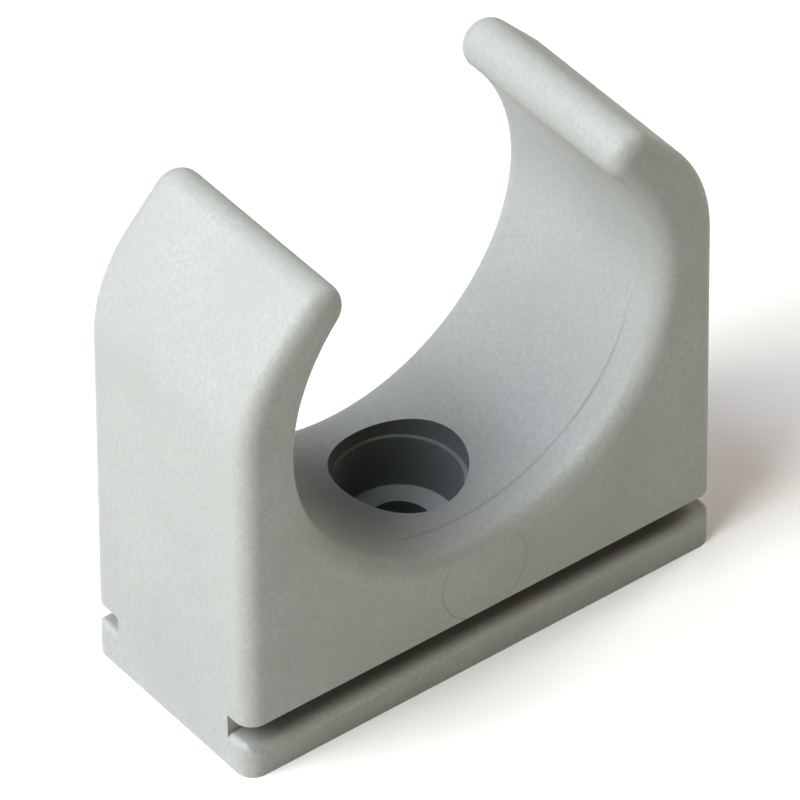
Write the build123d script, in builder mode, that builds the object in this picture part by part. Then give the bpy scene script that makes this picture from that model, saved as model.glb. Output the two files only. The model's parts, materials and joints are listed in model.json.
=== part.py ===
from build123d import *
import math
import os

# Snap-in pipe clip, moulded in one piece with a slotted foot and a screw seat.
# Millimetres, +Z up. Origin: middle of the foot's underside.
# X runs across the cradle and Y along the pipe.

# cradle that holds the pipe, and the round noses that the pipe snaps past
pipe_d = 32.0
cradle_floor_z = 11.2
nose_r = 1.95
nose_angle = 40.8

# body and arms
body_d = 18.4
arm_wall = 5.1
arm_draft = 0.45
slant_angle = 46.7
bend_r = 12.0
edge_r = 1.45

# foot, and the slots above it, the back one deeper
foot_h = 2.95
foot_corner_r = 1.4
foot_edge_r = 1.1
foot_end_r = 0.5
slot_h = 1.85
front_slot_depth = 2.4
back_slot_depth = 3.0

# screw seat in the cradle floor, a little behind the middle
seat_y = 0.8
mouth_d = 10.1
mouth_depth = 1.05
ledge_w = 0.35
seat_d = 8.6
seat_depth = 5.2
screw_hole_d = 5.0

cradle_r = pipe_d / 2
half_w = cradle_r + arm_wall
slot_top_z = foot_h + slot_h


def polar(length, angle):
    """Point at that distance from the origin, its angle in degrees from the first axis."""
    return Vector(length * math.cos(math.radians(angle)), length * math.sin(math.radians(angle)))


cradle_center = Vector(0, cradle_floor_z + cradle_r)
nose_center = cradle_center + polar(cradle_r + nose_r, nose_angle)
slant_top = nose_center + polar(nose_r, 90 - slant_angle)

with BuildPart() as pipe_clip:
    # foot, its upper edge rounded, more along the front and back than at the ends
    with BuildSketch() as sole:
        Rectangle(2 * half_w, body_d)
        fillet(sole.vertices(), foot_corner_r)
    extrude(amount=foot_h)
    fillet(pipe_clip.edges().group_by(Axis.Z)[-1], foot_end_r)
    with BuildSketch(Plane.YZ) as foot_section:
        Rectangle(body_d, 2 * foot_h)
        fillet(foot_section.vertices().group_by(Axis.Y)[-1], foot_edge_r)
    extrude(amount=half_w, both=True, mode=Mode.INTERSECT)

    # web between the two slots, flush with the ends
    with BuildSketch():
        with Locations((0, (front_slot_depth - back_slot_depth) / 2)):
            Rectangle(2 * half_w, body_d - front_slot_depth - back_slot_depth)
    extrude(amount=slot_top_z)

    # body with both arms, seen from the front: the right half, mirrored and pulled along the pipe
    with BuildSketch(Plane.XZ) as outline:
        with BuildLine():
            floor = Line((0, slot_top_z), (half_w, slot_top_z))
            flank = PolarLine(floor @ 1, cradle_floor_z + pipe_d, angle=90 + arm_draft, mode=Mode.PRIVATE)
            slant = IntersectingLine(slant_top, polar(1, -slant_angle), flank)
            Line(floor @ 1, slant @ 1)
            CenterArc(nose_center, nose_r, 90 - slant_angle, 90 + slant_angle + nose_angle)
            CenterArc(cradle_center, cradle_r, -90, 90 + nose_angle)
            Line((0, cradle_floor_z), (0, slot_top_z))
        make_face()
        fillet(outline.vertices().sort_by_distance(slant @ 1)[0], bend_r)
        mirror(about=Plane.YZ)
    extrude(amount=body_d / 2, both=True)
    rims = pipe_clip.faces(Select.LAST).filter_by(Axis.Y).edges()
    fillet(rims - rims.group_by(Axis.Z)[0], edge_r)

    # screw seat: one revolved section, wide at the mouth, then a tapered pocket and the hole
    with BuildSketch(Plane.XZ.offset(-seat_y)):
        with BuildLine():
            Polyline(
                (0, 0),
                (screw_hole_d / 2, 0),
                (screw_hole_d / 2, cradle_floor_z - seat_depth),
                (seat_d / 2, cradle_floor_z - seat_depth),
                (mouth_d / 2 - ledge_w, cradle_floor_z - mouth_depth),
                (mouth_d / 2, cradle_floor_z - mouth_depth),
                (mouth_d / 2, cradle_floor_z + cradle_r),
                (0, cradle_floor_z + cradle_r),
                close=True,
            )
        make_face()
    revolve(axis=Axis((0, seat_y, 0), (0, 0, 1)), mode=Mode.SUBTRACT)

pipe_clip.part.label = "pipe_clip"
os.makedirs("parts", exist_ok=True)
export_step(pipe_clip.part, "parts/pipe_clip.step")
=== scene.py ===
import json
import math

import bpy
from mathutils import Matrix, Vector


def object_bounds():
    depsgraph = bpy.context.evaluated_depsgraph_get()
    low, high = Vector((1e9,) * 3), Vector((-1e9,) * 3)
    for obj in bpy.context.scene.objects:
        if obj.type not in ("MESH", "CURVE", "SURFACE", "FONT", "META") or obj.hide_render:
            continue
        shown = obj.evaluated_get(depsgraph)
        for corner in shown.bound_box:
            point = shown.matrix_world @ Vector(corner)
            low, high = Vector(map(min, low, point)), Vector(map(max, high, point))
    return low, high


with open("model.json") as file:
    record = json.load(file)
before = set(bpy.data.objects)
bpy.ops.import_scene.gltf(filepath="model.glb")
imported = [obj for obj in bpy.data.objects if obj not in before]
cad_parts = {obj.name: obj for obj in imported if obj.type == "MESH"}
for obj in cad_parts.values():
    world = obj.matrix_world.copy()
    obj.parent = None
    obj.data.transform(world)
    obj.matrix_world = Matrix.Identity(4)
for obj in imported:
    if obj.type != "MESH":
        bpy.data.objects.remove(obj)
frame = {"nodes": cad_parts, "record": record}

# Snap-in pipe clip of light grey plastic on a pale floor, lit softly from the left.
# Metres, +Z up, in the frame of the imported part.

CAD_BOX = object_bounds()
MOUNTS = {mount["name"]: mount for mount in frame["record"]["mounts"]}
MILLIMETRE = 0.001

# camera: where it aims, how far off it stands, and its tilt
AIM = Vector((-0.00042, 0.0, 0.01845))
DISTANCE = 0.6807
AZIMUTH = -37.35
ELEVATION = 40.58
ROLL = -0.45
LENS = 432.8

# lights: how far they stand from the clip, the point that they aim at, and the panels' sizes
LIGHT_DISTANCE = 0.8
LIGHT_AIM = Vector((0, 0, 0.02))
PANE = (0.35, 0.35)
SMALL_PANE = (0.25, 0.25)
BOARD = (0.5, 0.5)
LOW_BOARD = (0.5, 0.35)

# moulded plastic: two close greys in soft clouds and fine grain
PLASTIC_PALE = (0.445, 0.459, 0.445)
PLASTIC_DULL = (0.405, 0.417, 0.405)
SPECULAR = 0.9
ROUGHNESS = (0.58, 0.66)
CLOUDS_PER_METRE = 130
CLOUDS_DETAIL = 3
CLOUDS_SHADE = 0.5
GRAIN_PER_METRE = 3200
GRAIN_DETAIL = 4
GRAIN_HEIGHT = 0.000032
NOISE_SPAN = (0.3, 0.7)
NOISE_MIDDLE = 0.5

# dull brown of the fine lines that the mould left, and how deep they are
LINE_COLOR = (0.22, 0.18, 0.14)
LINE_DEPTH = 0.000022

# cradle: radius and height of its axis, and how close to its wall counts as on it
CRADLE_R = MOUNTS["cradle"]["dims"]["r_mm"] * MILLIMETRE
CRADLE_Z = MOUNTS["cradle"]["pos_m"][2]
CRADLE_SKIN = 0.0002

# seam line on the cradle near its front edge, between two angles round the cradle's axis, and
# fainter where the clouds are low
SEAM_Y = -0.0061
SEAM_WANDER = 0.0006
SEAM_REACH = 0.00022
SEAM_SHADE = 0.38
SEAM_FAINTEST = 0.65
SEAM_FADE = (0.40, 0.50)
SEAM_START = (-112, -104)
SEAM_END = (-8, -28)

# round mark of a mould pin on the front face
FRONT_Y = CAD_BOX[0][1]
FRONT_SKIN = (0.0002, 0.0001)
PIN_Z = 0.0082
PIN_R = 0.00375
PIN_REACH = 0.00015
PIN_SHADE = 0.22

# screw seat: its axis behind the middle, its radius at the mouth, its floor where the screw hole
# starts, and its top above the lowest line of the cradle
SEAT_Y = MOUNTS["screw_hole"]["pos_m"][1]
SEAT_R = 0.00505
SEAT_MARGIN = 0.00003
SEAT_FLOOR_Z = MOUNTS["screw_hole"]["dims"]["length_mm"] * MILLIMETRE
SEAT_RISE = 0.001
SEAT_TOP_Z = CRADLE_Z - CRADLE_R + SEAT_RISE
SEAT_BLEND = 0.0001
SEAT_FLOOR_REACH = 0.00005
# painted shade: colour of the seat's walls, darker than the plastic, standing in for the shade in the
# recess
SEAT_WALL_PAINTED_SHADE = (0.325, 0.345, 0.340)
# painted light: colour of the seat's floor, lighter than the plastic, standing in for the light that
# falls on it from above
SEAT_FLOOR_PAINTED_LIGHT = (0.60, 0.62, 0.61)

# paper that the clip stands on, and the dark room round it
FLOOR_COLOR = (0.86, 0.86, 0.86)
FLOOR_ROUGHNESS = 0.9
FLOOR_SIZE = 6.0
ROOM_COLOR = (0, 0, 0, 1)

# sockets of a Mix node that mixes colours: first and second colour, and the result
MIX_FIRST = 6
MIX_SECOND = 7
MIX_RESULT = 2


def principled(name, color, roughness):
    material = bpy.data.materials.new(name)
    material.use_nodes = True
    shader = material.node_tree.nodes["Principled BSDF"]
    shader.inputs["Base Color"].default_value = (*color, 1)
    shader.inputs["Roughness"].default_value = roughness
    return material, shader


def calc(tree, operation, *values):
    """Output of one Math node. Each value is a number or another node's output."""
    node = tree.nodes.new("ShaderNodeMath")
    node.operation = operation
    for socket, value in zip(node.inputs, values):
        if isinstance(value, (int, float)):
            socket.default_value = value
        else:
            tree.links.new(value, socket)
    return node.outputs[0]


def ramp(tree, value, start, end, low=0.0, high=1.0):
    """Smooth step: low where the value is at start or before it, high at end or past it."""
    node = tree.nodes.new("ShaderNodeMapRange")
    node.interpolation_type = "SMOOTHSTEP"
    tree.links.new(value, node.inputs["Value"])
    for name, number in (("From Min", start), ("From Max", end), ("To Min", low), ("To Max", high)):
        node.inputs[name].default_value = number
    return node.outputs["Result"]


def line(tree, value, middle, reach):
    """1 where the value is the middle, falling to 0 at that reach from it."""
    away = calc(tree, "ABSOLUTE", calc(tree, "SUBTRACT", value, middle))
    return ramp(tree, away, reach, 0)


def all_of(tree, *masks):
    """Product of the masks: 1 where every one of them is 1."""
    product = masks[0]
    for mask in masks[1:]:
        product = calc(tree, "MULTIPLY", product, mask)
    return product


def radius(tree, across, along):
    """Distance from the place where the two values are 0."""
    squares = [calc(tree, "MULTIPLY", value, value) for value in (across, along)]
    return calc(tree, "SQRT", calc(tree, "ADD", *squares))


def noise(tree, coords, scale, detail):
    node = tree.nodes.new("ShaderNodeTexNoise")
    node.inputs["Scale"].default_value = scale
    node.inputs["Detail"].default_value = detail
    tree.links.new(coords, node.inputs["Vector"])
    return node.outputs[0]


def mix_color(tree, factor, first, second):
    """First colour where the factor is 0, second where it is 1. Each is a tuple or an output."""
    node = tree.nodes.new("ShaderNodeMix")
    node.data_type = "RGBA"
    tree.links.new(factor, node.inputs["Factor"])
    for socket, color in ((node.inputs[MIX_FIRST], first), (node.inputs[MIX_SECOND], second)):
        if isinstance(color, tuple):
            socket.default_value = (*color, 1)
        else:
            tree.links.new(color, socket)
    return node.outputs[MIX_RESULT]


def seam_line(tree, x, y, z, clouds):
    """Mask of the seam: close to one plane across the pipe, and only on the cradle's wall."""
    up = calc(tree, "SUBTRACT", z, CRADLE_Z)
    on_wall = line(tree, radius(tree, x, up), CRADLE_R, CRADLE_SKIN)
    angle = calc(tree, "DEGREES", calc(tree, "ARCTAN2", up, x))
    within = all_of(tree, ramp(tree, angle, *SEAM_START), ramp(tree, angle, *SEAM_END))
    wander = calc(tree, "MULTIPLY", calc(tree, "SUBTRACT", clouds, NOISE_MIDDLE), SEAM_WANDER)
    seam = line(tree, calc(tree, "ADD", y, wander), SEAM_Y, SEAM_REACH)
    strength = ramp(tree, clouds, *SEAM_FADE, SEAM_FAINTEST, 1)
    return all_of(tree, seam, on_wall, within, strength)


def pin_mark(tree, x, y, z):
    """Masks of the pin's ring on the front face, and of the disc in it."""
    from_pin = radius(tree, x, calc(tree, "SUBTRACT", z, PIN_Z))
    on_front = ramp(tree, y, FRONT_Y + FRONT_SKIN[0], FRONT_Y + FRONT_SKIN[1])
    ring = line(tree, from_pin, PIN_R, PIN_REACH)
    disc = ramp(tree, from_pin, PIN_R + PIN_REACH, PIN_R - PIN_REACH)
    return all_of(tree, ring, on_front), all_of(tree, disc, on_front)


def seat_shade_and_light(tree, x, y, z):
    """Masks of where painted shade goes on the seat's walls, and of where painted light goes on its
    floor round the screw hole.
    """
    from_screw = radius(tree, x, calc(tree, "SUBTRACT", y, SEAT_Y))
    inside = ramp(tree, from_screw, SEAT_R + SEAT_MARGIN, SEAT_R)
    below_top = ramp(tree, z, SEAT_TOP_Z, SEAT_TOP_Z - SEAT_BLEND)
    above_floor = ramp(tree, z, SEAT_FLOOR_Z, SEAT_FLOOR_Z + SEAT_BLEND)
    on_floor = line(tree, z, SEAT_FLOOR_Z, SEAT_FLOOR_REACH)
    return all_of(tree, inside, below_top, above_floor), all_of(tree, inside, on_floor)


def moulded_plastic():
    material, shader = principled("grey_plastic", PLASTIC_PALE, ROUGHNESS[0])
    shader.inputs["Specular IOR Level"].default_value = SPECULAR
    tree = material.node_tree
    coords = tree.nodes.new("ShaderNodeTexCoord").outputs["Object"]
    axes = tree.nodes.new("ShaderNodeSeparateXYZ")
    tree.links.new(coords, axes.inputs[0])
    clouds = noise(tree, coords, CLOUDS_PER_METRE, CLOUDS_DETAIL)
    grain = noise(tree, coords, GRAIN_PER_METRE, GRAIN_DETAIL)
    seam = seam_line(tree, *axes.outputs, clouds)
    ring, disc = pin_mark(tree, *axes.outputs)
    seat_wall_shade, seat_floor_light = seat_shade_and_light(tree, *axes.outputs)

    cloudy = ramp(tree, clouds, *NOISE_SPAN, 0, CLOUDS_SHADE)
    color = mix_color(tree, cloudy, PLASTIC_PALE, PLASTIC_DULL)
    color = mix_color(tree, ramp(tree, grain, *NOISE_SPAN), color, PLASTIC_DULL)
    color = mix_color(tree, calc(tree, "MULTIPLY", seam, SEAM_SHADE), color, LINE_COLOR)
    color = mix_color(tree, calc(tree, "MULTIPLY", ring, PIN_SHADE), color, LINE_COLOR)
    # painted shade: the seat's walls darkened as if in shade
    color = mix_color(tree, seat_wall_shade, color, SEAT_WALL_PAINTED_SHADE)
    # painted light: the seat's floor lightened where light falls on it from above
    color = mix_color(tree, seat_floor_light, color, SEAT_FLOOR_PAINTED_LIGHT)
    tree.links.new(color, shader.inputs["Base Color"])
    roughness = ramp(tree, clouds, *NOISE_SPAN, *ROUGHNESS)
    tree.links.new(roughness, shader.inputs["Roughness"])

    # relief: grain all over, less the seam's groove and the disc that the pin pressed in
    height = calc(tree, "MULTIPLY", grain, GRAIN_HEIGHT)
    for mask in (seam, disc):
        height = calc(tree, "SUBTRACT", height, calc(tree, "MULTIPLY", mask, LINE_DEPTH))
    bump = tree.nodes.new("ShaderNodeBump")
    bump.inputs["Strength"].default_value = 1
    bump.inputs["Distance"].default_value = 1
    tree.links.new(height, bump.inputs["Height"])
    tree.links.new(bump.outputs["Normal"], shader.inputs["Normal"])
    return material


def add_floor():
    bpy.ops.mesh.primitive_plane_add(size=FLOOR_SIZE)
    floor = bpy.context.object
    floor.name = "floor"
    material, _ = principled("floor_paper", FLOOR_COLOR, FLOOR_ROUGHNESS)
    floor.data.materials.append(material)


def add_camera():
    turn = Matrix.Rotation(math.radians(AZIMUTH), 4, "Z")
    lift = Matrix.Rotation(math.radians(90 - ELEVATION), 4, "X")
    roll = Matrix.Rotation(math.radians(ROLL), 4, "Z")
    data = bpy.data.cameras.new("camera")
    data.lens = LENS
    camera = bpy.data.objects.new("camera", data)
    bpy.context.scene.collection.objects.link(camera)
    facing = turn @ lift @ roll
    camera.matrix_world = Matrix.Translation(AIM + facing @ Vector((0, 0, DISTANCE))) @ facing
    bpy.context.scene.camera = camera


def add_light(name, azimuth, elevation, size, color):
    """Soft panel: azimuth 0 is on the +X side, 90 on the +Y side. Its colour is also its strength."""
    around, up = math.radians(azimuth), math.radians(elevation)
    side = Vector((math.cos(around) * math.cos(up), math.sin(around) * math.cos(up), math.sin(up)))
    data = bpy.data.lights.new(name, "AREA")
    data.shape = "RECTANGLE"
    data.size, data.size_y = size
    data.color = color
    data.energy = math.pi * LIGHT_DISTANCE ** 2
    light = bpy.data.objects.new(name, data)
    bpy.context.scene.collection.objects.link(light)
    facing = side.to_track_quat("Z", "Y").to_matrix().to_4x4()
    light.matrix_world = Matrix.Translation(LIGHT_AIM + side * LIGHT_DISTANCE) @ facing


def set_room_and_view():
    world = bpy.data.worlds.new("studio")
    world.use_nodes = True
    world.node_tree.nodes["Background"].inputs[0].default_value = ROOM_COLOR
    bpy.context.scene.world = world
    view = bpy.context.scene.view_settings
    view.view_transform = "Standard"
    view.look = "Very High Contrast"


frame["nodes"]["pipe_clip"].material_slots[0].material = moulded_plastic()
add_floor()
add_camera()
add_light("window_front", 190, 42, PANE, (0.713, 0.759, 0.863))
add_light("window_middle", 170, 42, PANE, (0.610, 0.632, 0.579))
add_light("window_back", 130, 42, PANE, (0.332, 0.389, 0.528))
add_light("window_high", 180, 65, PANE, (0.786, 0.823, 0.792))
add_light("window_low", 160, 18, PANE, (0.252, 0.211, 0.186))
add_light("window_low_front", 200, 18, PANE, (0.216, 0.137, 0.0))
add_light("window_side", 205, 30, SMALL_PANE, (0.017, 0.028, 0.076))
add_light("fill_front", 290, 15, LOW_BOARD, (0.172, 0.138, 0.078))
add_light("fill_right", 0, 42, BOARD, (1.060, 1.019, 0.937))
add_light("fill_back", 90, 42, BOARD, (0.377, 0.337, 0.324))
set_room_and_view()
